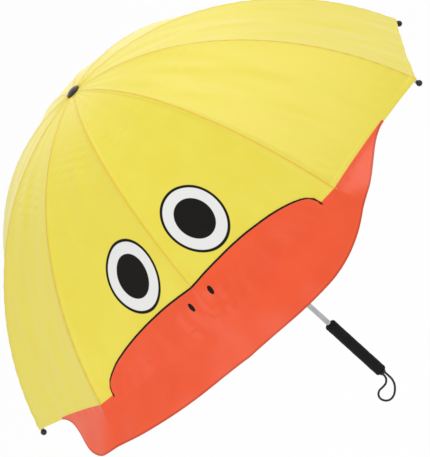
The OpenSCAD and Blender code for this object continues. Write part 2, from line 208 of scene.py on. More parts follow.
def wire_weave(graph: Graph, given: dict[str, Socket]) -> list[Socket]:
    """Plain weave: over-and-under threads with a faint slub.

    Args:
        graph: the group's tree.
        given: Place and Pitch.

    Returns:
        Height and Tint sockets.
    """
    slub_scale = (900.0, 60.0, 900.0)
    split = graph.node("SeparateXYZ", given["Place"]).outputs
    turns = graph.math("DIVIDE", math.pi, given["Pitch"])
    warp, weft = (graph.math("SINE", graph.math("MULTIPLY", split[i], turns)) for i in (0, 1))
    height = graph.math("MULTIPLY_ADD", graph.math("MULTIPLY", warp, weft), 0.5, 0.5)
    slub = graph.node("TexNoise", graph.vector("MULTIPLY", given["Place"], slub_scale), Scale=1.0, Detail=2.0)
    return [height, graph.math("MULTIPLY_ADD", slub.outputs[0], 0.6, graph.math("MULTIPLY", height, 0.4))]


def wire_mottle(graph: Graph, given: dict[str, Socket]) -> list[Socket]:
    """Broad, soft unevenness, as in dyed cloth or handled plastic.

    Args:
        graph: the group's tree.
        given: Place and Size.

    Returns:
        A Mask socket about 0.5 on average.
    """
    scale = graph.math("DIVIDE", 1.0, given["Size"])
    broad = graph.node("TexNoise", given["Place"], Scale=scale, Detail=3.0, Roughness=0.55)
    return [graph.step(broad.outputs[0], 0.25, 0.75)]


def wire_stitch(graph: Graph, given: dict[str, Socket]) -> list[Socket]:
    """Row of stitches along a line of constant distance.

    Args:
        graph: the group's tree.
        given: Distance from an edge, Along it, Row, Length and Width.

    Returns:
        Thread mask and Height of the stitches.
    """
    off = graph.math("ABSOLUTE", graph.math("SUBTRACT", given["Distance"], given["Row"]))
    off = graph.math("DIVIDE", off, given["Width"])
    share = graph.math("FRACT", graph.math("DIVIDE", given["Along"], given["Length"]))
    mid = graph.math("ABSOLUTE", graph.math("SUBTRACT", share, 0.5))
    mask = graph.math("MULTIPLY", graph.step(mid, 0.32, 0.4, 1.0, 0.0), graph.step(off, 0.35, 0.6, 1.0, 0.0))
    return [mask, graph.math("ADD", mask, graph.step(off, 0.4, 2.2, -0.6, 0.0))]


def wire_scuff(graph: Graph, given: dict[str, Socket]) -> list[Socket]:
    """Fine scratches and rubbed edges of hard pieces.

    Args:
        graph: the group's tree.
        given: Place, Scale and Edge, the share of wear on raised edges.

    Returns:
        Rubbed mask and Grain value.
    """
    stretched = graph.vector("MULTIPLY", given["Place"], (1.0, 1.0, 0.12))
    grain = graph.node("TexNoise", stretched, Scale=given["Scale"], Detail=4.0)
    worn = graph.node("TexNoise", given["Place"], Scale=240.0, Detail=3.0)
    raised = graph.step(graph.node("NewGeometry").outputs["Pointiness"], 0.52, 0.62)
    edge = graph.math("MULTIPLY", raised, graph.step(worn.outputs[0], 0.35, 0.65))
    return [graph.math("MULTIPLY", edge, given["Edge"]), grain.outputs[0]]


EFFECTS = (
    Effect("weave", wire_weave, ("Height", "Tint"), {"Place": None, "Pitch": 0.0005}),
    Effect("mottle", wire_mottle, ("Mask",), {"Place": None, "Size": 0.05}),
    Effect("stitch_row", wire_stitch, ("Thread", "Height"),
           {"Distance": 0.0, "Along": 0.0, "Row": 0.002, "Length": 0.003, "Width": 0.0006}),
    Effect("scuff", wire_scuff, ("Rubbed", "Grain"), {"Place": None, "Scale": 300.0, "Edge": 0.3}),
)


def new_material(name: str) -> tuple[Graph, Node]:
    """Starts a material with one Principled shader.

    Args:
        name: name of the material.

    Returns:
        Its graph and the shader.
    """
    made = bpy.data.materials.new(name)
    made.use_nodes = True
    return Graph(made.node_tree), made.node_tree.nodes["Principled BSDF"]


def shade(colour: Colour, share: float) -> Colour:
    """Gives a darker or lighter tone of a colour."""
    return tuple(c * share for c in colour)


def oval(graph: Graph, place: Socket, centre: Pair, size: Pair) -> Socket:
    """Distance from the middle of an oval, 1 on its line.

    Args:
        graph: the material's graph.
        place: place on the cloth in metres.
        centre: middle of the oval.
        size: half its width and half its height.

    Returns:
        The distance's socket.
    """
    off = graph.vector("SUBTRACT", place, (*centre, 0.0))
    return graph.vector("LENGTH", graph.vector("MULTIPLY", off, (1 / size[0], 1 / size[1], 0.0)))


# Finishes


@dataclass
class ClothWork:
    """A cloth material in the making.

    Attributes:
        graph: the material's graph.
        place: place on the cloth in metres.
        edges: distances from the seam or printed border, and from the rim or free edge.
        colour: colour so far.
        height: relief so far.
        ink: mask of the black ink, where there is any.
    """

    graph: Graph
    place: Socket
    edges: Sequence[Socket]
    colour: Socket
    height: Socket
    ink: Socket | None = None

    def paint(self, mask: Socket, colour: Colour) -> None:
        """Lays a colour over the colour so far."""
        self.colour = self.graph.blend(mask, self.colour, colour)

    def stripe(self, distance: Socket, edge: Pair, share: float, colour: Colour) -> None:
        """Lays a share of a colour along an edge, fading out between two distances from it."""
        self.paint(self.graph.step(distance, *edge, share, 0.0), colour)


@dataclass(frozen=True)
class ClothFinish:
    """Woven polyester cloth, printed or plain.

    Attributes:
        use: where the cloth is seen.
        colour: dyed colour.
        deep: colour in the deeper patches.
        thread: colour of the stitching.
        doubled: colour where the cloth lies double along a seam.
        pitch: thread pitch of the weave in metres.
        tint: how far the weave deepens the colour.
        weave_high: height of the weave as a share of a stitch's.
        patch: size of the dye's patches.
        roughness: mean roughness of the coated face.
        spread: how far the patches move the roughness.
        gloss: specular level of the cloth, and ink_gloss of the ink.
        sheen: sheen weight of the cloth, where the ink has none.
        relief: bump distance of the stitches.
        hem_row: distance of the hem's stitches from the rim.
        seam_row: distance of the seam's stitches from the seam.
        doubled_edge: distances from the seam between which the doubled cloth fades out.
        groove_shade_edge: the same for the painted shade in the groove of the seam itself.
        rolled_edge_shade: the same for the painted shade along the bill's rolled edge, from its free edge.
        border_edge: the same for the bill's printed border.
        eye_place: middle of an eye on its panel, and eye_size half its width and height.
        eye_line: width of the eye's line as a share of its size.
        eye_black: size of the black oval as a share of the eye's.
        nostril_place: middle of an oval on the bill, and nostril_size half its width and height.
        nostril_edge: shares of its size between which it fades out.
    """

    use: ClothUse
    colour: Colour
    deep: Colour
    thread: Colour
    doubled: Colour = (0.84, 0.60, 0.035)
    pitch: float = 0.0006
    tint: float = 0.16
    weave_high: float = 0.25
    patch: float = 0.045
    roughness: float = 0.40
    spread: float = 0.12
    gloss: float = 0.42
    ink_gloss: float = 0.06
    sheen: float = 0.08
    relief: float = 0.0003
    hem_row: float = 0.0075
    seam_row: float = 0.0019
    doubled_edge: Pair = (0.0020, 0.0026)
    groove_shade_edge: Pair = (0.0, 0.0005)
    rolled_edge_shade: Pair = (0.0020, 0.0028)
    border_edge: Pair = (0.0023, 0.0028)
    eye_place: Pair = (-0.031, 0.326)
    eye_size: Pair = (0.037, 0.0495)
    eye_line: float = 0.08
    eye_black: float = 0.60
    nostril_place: Pair = (0.017, 0.400)
    nostril_size: Pair = (0.0030, 0.0062)
    nostril_edge: Pair = (0.93, 1.05)

    def build(self) -> None:
        """Makes the material."""
        graph, shader = new_material(f"cloth_{self.use.value}")
        place, edges = (graph.node("UVMap", props={"uv_map": name}).outputs[0] for name in ("cloth", "edges"))
        weave = graph.group("weave", Place=place, Pitch=self.pitch)
        patch = graph.group("mottle", Place=place, Size=self.patch)["Mask"]
        colour = graph.blend(patch, self.deep, self.colour)
        height = graph.math("MULTIPLY", weave["Height"], self.weave_high)
        work = ClothWork(graph, place, graph.node("SeparateXYZ", edges).outputs, colour, height)
        work.paint(graph.math("MULTIPLY", weave["Tint"], self.tint), self.deep)
        if self.use is ClothUse.EYES:
            self.print_eyes(work)
        if self.use is ClothUse.BILL:
            self.print_bill(work)
        gloss, sheen = self.gloss, self.sheen
        if work.ink is not None:
            gloss = graph.math("MULTIPLY_ADD", work.ink, self.ink_gloss - self.gloss, self.gloss)
            sheen = graph.math("MULTIPLY_ADD", work.ink, -self.sheen, self.sheen)
        self.sew(work)
        rough = graph.math("MULTIPLY_ADD", patch, self.spread, self.roughness - self.spread / 2)
        normal = graph.bump(work.height, 0.35, self.relief)
        graph.feed_named(shader, Base_Color=work.colour, Roughness=rough, Normal=normal, Specular_IOR_Level=gloss,
                         Sheen_Weight=sheen, Sheen_Roughness=0.45)

    def sew(self, work: ClothWork) -> None:
        """Adds the hem's stitches, and then the bill's rolled edge with its painted shade, or the seam with its
        doubled cloth and the painted shade in its groove.

        Args:
            work: the material in the making.
        """
        from_seam, from_rim, _ = work.edges
        across, along, _ = work.graph.node("SeparateXYZ", work.place).outputs
        self.stitch(work, from_rim, across, self.hem_row, share=0.6)
        if self.use is ClothUse.BILL:
            # Painted shade darkens a band along the bill's rolled free edge.
            work.stripe(from_rim, self.rolled_edge_shade, 0.8, shade(self.deep, 0.62))
        else:
            work.stripe(from_seam, self.doubled_edge, 0.85, self.doubled)
            # Painted shade darkens the groove along the seam.
            work.stripe(from_seam, self.groove_shade_edge, 0.35, shade(self.deep, 0.6))
            self.stitch(work, from_seam, along, self.seam_row, share=0.5)

    def stitch(self, work: ClothWork, distance: Socket, along: Socket, row: float, share: float) -> None:
        """Adds one row of stitches.

        Args:
            work: the material in the making.
            distance: distance from the edge that the row follows.
            along: way along that edge.
            row: the row's distance from the edge.
            share: how strongly the thread's colour shows.
        """
        made = work.graph.group("stitch_row", Distance=distance, Along=along, Row=row)
        work.paint(work.graph.math("MULTIPLY", made["Thread"], share), self.thread)
        work.height = work.graph.math("ADD", work.height, made["Height"])

    def print_eyes(self, work: ClothWork) -> None:
        """Prints one plain eye: a white oval in a black line, with a black oval in its middle.

        Args:
            work: the material in the making.
        """
        graph, soft = work.graph, 0.01
        away = oval(graph, work.place, self.eye_place, self.eye_size)
        lines = (1.0, 1 - self.eye_line, self.eye_black)
        ring, white, black = (graph.step(away, line - soft, line + soft, 1.0, 0.0) for line in lines)
        for mask, colour in ((ring, EYE_INK), (white, EYE_WHITE), (black, EYE_INK)):
            work.paint(mask, colour)
        work.ink = graph.math("MAXIMUM", graph.math("SUBTRACT", ring, white), black)

    def print_bill(self, work: ClothWork) -> None:
        """Prints the black border line of the bill and two plain ovals.

        Args:
            work: the material in the making.
        """
        graph = work.graph
        line = graph.step(work.edges[0], *self.border_edge, 1.0, 0.0)
        away = oval(graph, graph.vector("ABSOLUTE", work.place), self.nostril_place, self.nostril_size)
        work.ink = graph.math("MAXIMUM", line, graph.step(away, *self.nostril_edge, 1.0, 0.0))
        work.paint(work.ink, BILL_INK)


@dataclass(frozen=True)
class HardFinish:
    """Moulded plastic or metal of a hard piece.

    Attributes:
        name: name of the material.
        colour: main colour.
        worn: colour of rubbed edges.
        metallic: 1 for metal, 0 for plastic.
        roughness: mean roughness.
        spread: how far the grain moves the roughness.
        relief: bump distance of the grain in metres.
        scale: size of the grain, as a noise scale.
        edge: share of wear on raised edges.
        patch: size of the darker patches, and dark their tone as a share of the colour.
        gloss: specular level.
    """

    name: str
    colour: Colour
    worn: Colour
    metallic: float
    roughness: float
    spread: float
    relief: float
    scale: float
    edge: float = 0.3
    patch: float = 0.02
    dark: float = 0.86
    gloss: float = 0.35

    def build(self) -> None:
        """Makes the material."""
        graph, shader = new_material(self.name)
        place = graph.node("TexCoord").outputs["Object"]
        scuff = graph.group("scuff", Place=place, Scale=self.scale, Edge=self.edge)
        patch = graph.group("mottle", Place=place, Size=self.patch)["Mask"]
        tone = graph.blend(patch, shade(self.colour, self.dark), self.colour)
        rough = graph.math("MULTIPLY_ADD", scuff["Grain"], self.spread, self.roughness - self.spread / 2)
        graph.feed_named(shader, Base_Color=graph.blend(scuff["Rubbed"], tone, self.worn), Roughness=rough,
                         Normal=graph.bump(scuff["Grain"], 0.3, self.relief), Metallic=self.metallic,
                         Specular_IOR_Level=self.gloss)


@dataclass(frozen=True)
class FoamFinish:
    """Closed-cell black foam with fine open pores.

    Attributes:
        name: name of the material.
        colour: colour of the skin, and pore the darker colour in the pores, which is painted shade.
        light: tone of the lighter patches as a share of the colour.
        size: size of a pore, and patch of a lighter patch.
        roughness: roughness of the pores, and smooth how much less the skin has.
        relief: bump distance of the pores.
        gloss: specular level.
    """

    name: str = "foam_skin"
    colour: Colour = (0.008, 0.008, 0.0085)
    pore: Colour = (0.004, 0.004, 0.004)
    light: float = 1.4
    size: float = 0.0011
    patch: float = 0.012
    roughness: float = 0.88
    smooth: float = 0.18
    relief: float = 0.0002
    gloss: float = 0.15

    def build(self) -> None:
        """Makes the material."""
        graph, shader = new_material(self.name)
        place = graph.node("TexCoord").outputs["Object"]
        cells = graph.node("TexVoronoi", Vector=place, Scale=1.0 / self.size)
        patch = graph.group("mottle", Place=place, Size=self.patch)["Mask"]
        skin = graph.step(cells.outputs["Distance"], 0.1, 0.5)
        tone = graph.blend(patch, self.colour, shade(self.colour, self.light))
        rough = graph.math("MULTIPLY_ADD", skin, -self.smooth, self.roughness)
        # The pores are darkened with painted shade.
        graph.feed_named(shader, Base_Color=graph.blend(skin, self.pore, tone), Roughness=rough,
                         Normal=graph.bump(skin, 0.5, self.relief), Specular_IOR_Level=self.gloss)


@dataclass(frozen=True)
class CordFinish:
    """Braided black cord.

    Attributes:
        name: name of the material.
        colour: colour between the threads, darkened there as painted shade, and light the painted light on their tops.
        pitch: thread pitch of the braid in metres.
        roughness: roughness between the threads, and smooth how much less they have.
        relief: bump distance of the threads.
        sheen: sheen weight.
    """

    name: str = "cord_braid"
    colour: Colour = (0.006, 0.006, 0.0065)
    light: Colour = (0.020, 0.020, 0.022)
    pitch: float = 0.00045
    roughness: float = 0.8
    smooth: float = 0.2
    relief: float = 0.0002
    sheen: float = 0.1

    def build(self) -> None:
        """Makes the material."""
        graph, shader = new_material(self.name)
        place = graph.node("UVMap", props={"uv_map": "cloth"}).outputs[0]
        height = graph.group("weave", Place=place, Pitch=self.pitch)["Height"]
        rough = graph.math("MULTIPLY_ADD", height, -self.smooth, self.roughness)
        # The raised threads get painted light and the gaps between them painted shade.
        graph.feed_named(shader, Base_Color=graph.blend(height, self.colour, self.light), Roughness=rough,
                         Normal=graph.bump(height, 0.6, self.relief), Sheen_Weight=self.sheen)


YELLOW: Colour = (0.825, 0.708, 0.074)
YELLOW_DEEP: Colour = (0.815, 0.680, 0.056)
YELLOW_THREAD: Colour = (0.92, 0.78, 0.12)
RED: Colour = (0.865, 0.089, 0.0175)
RED_DEEP: Colour = (0.84, 0.077, 0.0122)
RED_THREAD: Colour = (0.92, 0.14, 0.05)
EYE_INK: Colour = (0.010, 0.009, 0.008)
EYE_WHITE: Colour = (0.80, 0.80, 0.78)
BILL_INK: Colour = (0.012, 0.010, 0.009)
FINISHES = (
    ClothFinish(ClothUse.OUTSIDE, YELLOW, YELLOW_DEEP, YELLOW_THREAD),
    ClothFinish(ClothUse.EYES, YELLOW, YELLOW_DEEP, YELLOW_THREAD),
    ClothFinish(ClothUse.INSIDE, (0.85, 0.72, 0.075), (0.82, 0.68, 0.056), YELLOW_THREAD, roughness=0.6),
    ClothFinish(ClothUse.BILL, RED, RED_DEEP, RED_THREAD, seam_row=0.004, hem_row=0.005),
    ClothFinish(ClothUse.BAND, YELLOW, YELLOW_DEEP, YELLOW_THREAD, seam_row=0.002, hem_row=0.002),
    HardFinish("moulded_black", (0.012, 0.012, 0.013), (0.05, 0.05, 0.052), 0.0, 0.34, 0.16, 0.00006, 900.0),
    HardFinish("plated_tube", (0.42, 0.43, 0.45), (0.60, 0.60, 0.60), 1.0, 0.16, 0.10, 0.00002, 500.0),
    HardFinish("plated_rib", (0.52, 0.53, 0.55), (0.68, 0.68, 0.68), 1.0, 0.34, 0.20, 0.00003, 700.0),
    HardFinish("plated_spring", (0.46, 0.46, 0.48), (0.62, 0.62, 0.62), 1.0, 0.28, 0.16, 0.00003, 800.0),
    FoamFinish(),
    CordFinish(),
)


# Shapes


def ease(x: Array) -> Array:
    """Smooth step from 0 to 1."""
    x = np.clip(x, 0.0, 1.0)
    return x * x * (3 - 2 * x)


def place_object(name: str, data: bpy.types.ID) -> Piece:
    """Puts a mesh, a lamp or a camera in the scene.

    Args:
        name: name of the object.
        data: its mesh, lamp or camera data.

    Returns:
        The new object.
    """
    made = bpy.data.objects.new(name, data)
    bpy.context.scene.collection.objects.link(made)
    return made


def dress(piece: Piece, body: str, node: str) -> None:
    """Gives a piece its place in the part, and reports it.

    Args:
        piece: the new piece.
        body: body that it rides on.
        node: solid that it stands for.
    """
    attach(piece, body)
    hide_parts(node)
    LOG.info("%s rides on %s in place of %s", piece.name, body, node)


def cloth_maps(x: Array, y: Array, seam: Array, rim: Array) -> dict[str, Array]:
    """Gives a cloth's coordinate maps: place across and down it, and distances from its seam and rim."""
    return {"cloth": np.stack([x, y], -1), "edges": np.stack([seam, rim], -1)}


@dataclass(frozen=True)
class FoldSizes:
    """Heights and lengths of the canopy's ridges and folds, in metres.

    Attributes:
        ridge: height of the doubled cloth beside a seam, and groove the depth of the seam.
        pucker: height of the puckers along a seam, and pucker_long their length.
        pleat: height of the pleats round the crown, and pleat_reach how far down they fade.
        slack: height of the broad slack folds.
        slack_folds: length of each across and down a panel, its phase and its share of the height.
        crease: height of the fine creases across a panel, and crease_long their length.
        crease_place: arc length of their middle, and crease_reach how far they spread from it.
        tip_pull: height of the folds drawn from the rib tips.
        hem: height of the step at the hem.
    """

    ridge: float = 0.00045
    groove: float = 0.00025
    pucker: float = 0.00022
    pucker_long: float = 0.019
    pleat: float = 0.0004
    pleat_reach: float = 0.07
    slack: float = 0.00052
    slack_folds: tuple[tuple[float, ...], ...] = (
        (0.034, 0.31, 0.4, 0.5), (0.052, -0.23, 1.9, 0.7), (0.085, 0.42, 3.1, 1.0), (0.023, -0.17, 5.0, 0.22))
    crease: float = 0.00055
    crease_long: float = 0.014
    crease_place: float = 0.158
    crease_reach: float = 0.028
    tip_pull: float = 0.0006
    hem: float = 0.0003


@dataclass(frozen=True)
class Dome:
    """Canopy surface: two arcs down each rib, cloth stretched between neighbours.

    A place on it is turn, counted in panels from the front rib, and s, the arc length from the apex.
    Attributes are the part's own sizes, in metres and degrees, the cloth's sag as a share of the radius, and
    the sizes of its folds.
    """

    apex: float = 0.516
    crown_r: float = 0.340
    crown_deg: float = 35.0
    rim_r: float = 0.425
    rim_deg: float = 34.5
    ribs: int = 10
    hole: float = 0.0085
    rim_rise: float = 0.0025
    front_cut: float = 0.029
    sag: float = 0.010
    fold: FoldSizes = FoldSizes()

    @property
    def step(self) -> float:
        """Angle between ribs in radians."""
        return TURN / self.ribs

    @property
    def join_s(self) -> float:
        """Arc length where the crown arc meets the rim arc."""
        return self.crown_r * math.radians(self.crown_deg)

    @property
    def rim_s(self) -> float:
        """Arc length from the apex to the rim on a rib."""
        return self.join_s + self.rim_r * math.radians(self.rim_deg)

    def slope(self, s: Array) -> Array:
        """Slope below the horizon in radians."""
        lower = math.radians(self.crown_deg) + (s - self.join_s) / self.rim_r
        return np.where(s < self.join_s, s / self.crown_r, lower)

    def meridian(self, s: Array) -> tuple[Array, Array]:
        """Finds a place on a rib's line.

        Args:
            s: arc length from the apex.

        Returns:
            Its radius from the shaft and its height.
        """
        a, c = self.slope(s), math.radians(self.crown_deg)
        gap = self.crown_r - self.rim_r
        near = s < self.join_s
        r = np.where(near, self.crown_r * np.sin(a), gap * math.sin(c) + self.rim_r * np.sin(a))
        z = np.where(near, self.crown_r * np.cos(a), gap * math.cos(c) + self.rim_r * np.cos(a))
        return r, z + self.apex - self.crown_r

    def half(self, s: Array) -> Array:
        """Half the width of a panel."""
        return self.meridian(s)[0] * math.sin(self.step / 2)

    def rim_line(self, turn: Array) -> Array:
        """Arc length of the rim without its scallops, cut back at the front for the bill."""
        around = np.mod(turn, self.ribs)
        return self.rim_s - self.front_cut * np.clip(2 - np.minimum(around, self.ribs - around), 0, 1)

    def rim_at(self, turn: Array) -> Array:
        """Arc length of the cloth's rim."""
        t = turn - np.floor(turn)
        return self.rim_line(turn) - self.rim_rise * 4 * t * (1 - t)

    def radial(self, phi: Array | float) -> Array:
        """Unit vector away from the shaft at angle phi from the front."""
        return np.stack([np.sin(phi), -np.cos(phi), np.zeros_like(phi)], -1)

    def gather(self, piece: Piece, rib: int, keep: float) -> None:
        """Gives a piece a copy of its own mesh; it works out the angle of the rib, counted from 0, but narrows
        nothing, and keep is not used.
        """
        phi = rib * self.step
        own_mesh(piece)

    def bare(self, turn: Array, s: Array) -> Array:
        """Points of the cloth without folds: it sags between ribs and is taut at the rim.

        Args:
            turn: place round the canopy in panels from the front rib.
            s: arc length from the apex.

        Returns:
            Points, one row of three for each place.
        """
        base = np.floor(turn)
        t = turn - base
        r, z = self.meridian(s)
        taut = ease((s - 0.36) / 0.09)
        pull = 1 - self.sag * 4 * t * (1 - t) * (1 - 0.9 * taut)
        near, far = self.radial(base * self.step), self.radial((base + 1) * self.step)
        points = (near * (1 - t)[..., None] + far * t[..., None]) * (r * pull)[..., None]
        points[..., 2] = z
        return points

    def folds(self, turn: Array, s: Array) -> Array:
        """Height of seam ridges, puckers and slack folds over the bare cloth.

        The phases shift with the panel's number k, so that no two panels fold alike.

        Args:
            turn: place round the canopy in panels from the front rib.
            s: arc length from the apex.

        Returns:
            Heights in metres.
        """
        f, half, below = self.fold, self.half(s), self.rim_line(turn) - s
        t, k = turn - np.floor(turn), np.mod(np.floor(turn), self.ribs)
        mid, away, x = 4 * t * (1 - t), np.minimum(t, 1 - t) * 2 * half, (t - 0.5) * 2 * half
        foot = ease(away / 0.0008)
        seam = f.ridge * (foot - ease((away - 0.0026) / 0.0010)) - f.groove * (1 - foot)
        pucker = np.exp(-away / 0.009) * np.sin(s * TURN / f.pucker_long + 2.3 * k + 4 * t)
        pleat = np.exp(-s / f.pleat_reach) * mid * np.sin(TURN * 3 * t + 1.7 * k)
        slack = sum(size * np.sin(TURN * (x / wide + s / long) + phase * (1 + k) + 1.3 * k)
                    for wide, long, phase, size in f.slack_folds) * mid * ease((s - 0.03) / 0.12)
        spread = (s - f.crease_place - 0.012 * np.sin(1.9 * k)) / f.crease_reach
        creased = np.exp(-(spread**2)) * mid * (0.7 + 0.3 * np.sin(2.7 * k + 1))
        crease = creased * np.sin(TURN * (s + 0.45 * np.cos(2.4 * k) * x) / f.crease_long + 2 * k)
        pulled = ease((0.10 - below) / 0.10) * (1 - mid) * ease(away / 0.02)
        tip_pull = pulled * np.sin(TURN * (away / 0.018 - below / 0.06))
        hem = ease((s - self.rim_at(turn) + 0.0093) / 0.0008)
        return (seam + f.pucker * pucker + f.pleat * pleat + f.slack * slack + f.crease * crease
                + f.tip_pull * tip_pull + f.hem * hem)

    def cloth(self, turn: Array, s: Array, lift: Array | float = 0.0) -> Array:
        """Points of the finished cloth.

        Args:
            turn: place round the canopy in panels from the front rib.
            s: arc length from the apex.
            lift: distance off the outer face.

        Returns:
            Points, one row of three for each place.
        """
        a = self.slope(s)
        normal = self.radial(turn * self.step) * np.sin(a)[..., None]
        normal[..., 2] = np.cos(a)
        return self.bare(turn, s) + normal * (self.folds(turn, s) + lift)[..., None]


@dataclass
class SheetMaker:
    """Turns a surface function on a grid into a thin closed mesh.

    Attributes:
        surface: gives points from two parameter grids.
        thickness: cloth thickness in metres.
    """

    surface: Callable[[Array, Array], Array]
    thickness: float = 0.00035

    def normals(self, u: Array, v: Array) -> Array:
        """Finds unit normals by small steps on the surface.

        Args:
            u: first parameter.
            v: second parameter.

        Returns:
            A normal for each place.
        """
        d = 1e-4
        pu = self.surface(u + d, v) - self.surface(u - d, v)
        pv = self.surface(u, v + d) - self.surface(u, v - d)
        n = np.cross(pv, pu)
        return n / np.linalg.norm(n, axis=-1, keepdims=True)

    def build(self, name: str, u: Array, v: Array, maps: dict[str, Array], finishes: tuple[str, str]) -> Piece:
        """Makes the mesh object.

        Args:
            name: name of the piece.
            u: first parameter, rows down the cloth and columns across it.
            v: second parameter on the same grid.
            maps: coordinate maps by name, two numbers for each grid point.
            finishes: materials of the outer and inner faces.

        Returns:
            The new object.
        """
        outer, normal = self.surface(u, v), self.normals(u, v).reshape(-1, 3)
        outer = outer.reshape(-1, 3)
        count = u.size
        place = np.arange(count).reshape(u.shape)
        top = np.stack([place[:-1, :-1], place[1:, :-1], place[1:, 1:], place[:-1, 1:]], -1).reshape(-1, 4)
        borders = (place[:, 0], place[::-1, -1], place[0, ::-1], place[-1, :])
        rims = [np.stack([b[1:], b[:-1], b[:-1] + count, b[1:] + count], -1) for b in borders]
        faces = np.concatenate([top, top[:, ::-1] + count, *rims])
        rim_faces = slice(2 * len(top), None)
        mesh = bpy.data.meshes.new(name)
        mesh.from_pydata(np.concatenate([outer, outer - normal * self.thickness]).tolist(), [], faces.tolist())
        for label, values in maps.items():
            layer = mesh.uv_layers.new(name=label)
            flat = np.concatenate([values.reshape(-1, 2)] * 2)
            layer.data.foreach_set("uv", flat[faces.ravel()].astype(np.float32).ravel())
        shown = np.concatenate([normal, -normal])[faces]
        shown[rim_faces] = 0.0
        slots = np.zeros(len(faces), np.int32)
        slots[len(top):2 * len(top)] = 1
        smooth = np.ones(len(faces), bool)
        smooth[rim_faces] = False
        for finish in finishes:
            mesh.materials.append(bpy.data.materials[finish])
        mesh.polygons.foreach_set("material_index", slots)
        mesh.polygons.foreach_set("use_smooth", smooth)
        mesh.normals_split_custom_set(shown.reshape(-1, 3).tolist())
        mesh.update()
        return place_object(name, mesh)

    def area(self, u: Array, v: Array) -> float:
        """Measures the surface on a grid.

        Args:
            u: first parameter.
            v: second parameter.

        Returns:
            The area in square metres.
        """
        p = self.surface(u, v)
        corner, across = p[:-1, :-1], p[1:, 1:] - p[:-1, :-1]
        halves = np.cross(p[1:, :-1] - corner, across), np.cross(across, p[:-1, 1:] - corner)
        return float(sum(np.linalg.norm(half, axis=-1).sum() for half in halves) / 2)


def lathe(name: str, profile: Iterable[Pair], finish: str, sides: int) -> Piece:
    """Turns a profile about the Z axis.

    Args:
        name: name of the piece.
        profile: radius and height of each ring; a radius of 0 closes the end.
        finish: material name.
        sides: faces round the axis.

    Returns:
        The new object.
    """
    points, faces, rings = [], [], []
    angles = [TURN * i / sides for i in range(sides)]
    for r, z in profile:
        if r == 0:
            rings.append([len(points)] * sides)
            points.append((0.0, 0.0, z))
        else:
            rings.append([len(points) + i for i in range(sides)])
            points += [(r * math.cos(a), r * math.sin(a), z) for a in angles]
    for upper, lower in zip(rings, rings[1:]):
        for i in range(sides):
            loop = [upper[i], lower[i], lower[(i + 1) % sides], upper[(i + 1) % sides]]
            faces.append(list(dict.fromkeys(loop)))
    mesh = bpy.data.meshes.new(name)
    mesh.from_pydata(points, [], faces)
    mesh.polygons.foreach_set("use_smooth", [True] * len(faces))
    mesh.materials.append(bpy.data.materials[finish])
    mesh.set_sharp_from_angle(angle=math.radians(50))
    mesh.update()
    return place_object(name, mesh)


# Sub-assemblies


@dataclass
class Canopy:
    """Ten sewn panels, each carried half by one rib and half by the next.

    Attributes:
        dome: the surface that they lie on.
        parting: rows at which each half is parted, because it gathers more at the rim than at the crown.
        bands: name of each part, and the share of its width that it keeps when the canopy is closed.
        seam_marks: distances from the seam at which the ridge needs columns of its own.
        columns: columns across the rest of a half.
    """

    dome: Dome
    parting: tuple[int, int] = (9, 34)
    bands: tuple[tuple[str, float], ...] = (("upper", 0.84), ("middle", 0.655), ("lower", GATHERED))
    seam_marks: tuple[float, ...] = (0.0, 0.0008, 0.0026, 0.0036)
    columns: int = 13

    def grid(self, panel: int, side: Side) -> tuple[Array, Array]:
        """Parameter grids of one half panel, with rows closer at the crown and at the hem.

        Args:
            panel: panel number from 0.
            side: half to make.

        Returns:
            Places round the canopy and arc lengths.
        """
        dome = self.dome
        hem_rows = [0.9745, 0.9775, 0.979, 0.981, 0.990, 0.9985, 1.0]
        share = np.concatenate([np.linspace(0.0, 0.965, 66) ** 0.94, hem_rows])[:, None]
        half = dome.half(dome.hole + share * (dome.rim_s - dome.hole))
        most = np.linspace(0, 0.45, len(self.seam_marks))[None, :]
        close = np.minimum(np.array(self.seam_marks)[None, :] / half, most)
        start = close[:, -1:]
        rest = start + (1 - start) * np.linspace(0.0, 1.0, self.columns)[None, 1:]
        across = np.concatenate([close, rest], 1) / 2
        turn = panel + (across if side is Side.NEAR else (1 - across)[:, ::-1])
        return turn, dome.hole + share * (dome.rim_at(turn) - dome.hole)

    def maps(self, panel: int, turn: Array, s: Array) -> dict[str, Array]:
        """Lays the coordinate maps of a half panel, mirrored on the last one.

        Args:
            panel: panel number from 0.
            turn: places round the canopy.
            s: arc lengths.

        Returns:
            The maps by name.
        """
        t, wide = turn - panel, 2 * self.dome.half(s)
        x = (t - 0.5) * wide * (-1 if panel == self.dome.ribs - 1 else 1)
        return cloth_maps(x, s, np.minimum(t, 1 - t) * wide, self.dome.rim_at(turn) - s)

    def build(self) -> None:
        """Makes the twenty half panels, each in three parts."""
        for panel in range(self.dome.ribs):
            for side in Side:
                turn, s = self.grid(panel, side)
                ends = (0, *self.parting, len(s) - 1)
                for (band, keep), first, last in zip(self.bands, ends, ends[1:]):
                    rows = slice(first, last + 1)
                    self.piece(f"canopy_{panel + 1}{side.value}_{band}", panel, side, (turn[rows], s[rows]), keep)

    def piece(self, name: str, panel: int, side: Side, grid: tuple[Array, Array], keep: float) -> None:
        """Makes one part of a half panel and dresses it.

        Args:
            name: name of the piece.
            panel: panel number from 0.
            side: half that it belongs to.
            grid: places round the canopy and arc lengths.
            keep: share of its width that it keeps when the canopy is closed.
        """
        dome, (turn, s) = self.dome, grid
        edge, hold, inside = (panel, np.maximum, 1e-6) if side is Side.NEAR else (panel + 1, np.minimum, -1e-6)
        maker = SheetMaker(lambda a, b: dome.cloth(hold(a, edge + inside), b))
        finish = "cloth_eyes" if panel in (0, dome.ribs - 1) else "cloth_outside"
        made = maker.build(name, turn, s, self.maps(panel, turn, s), (finish, "cloth_inside"))
        rib = edge % dome.ribs
        carrier = f"rib_{rib + 1}"
        dress(made, carrier, f"panel_{panel + 1}")
        flat = float(dome.half(s.max())), float(np.ptp(s))
        maker.area(turn, s)
        dome.gather(made, rib, keep)


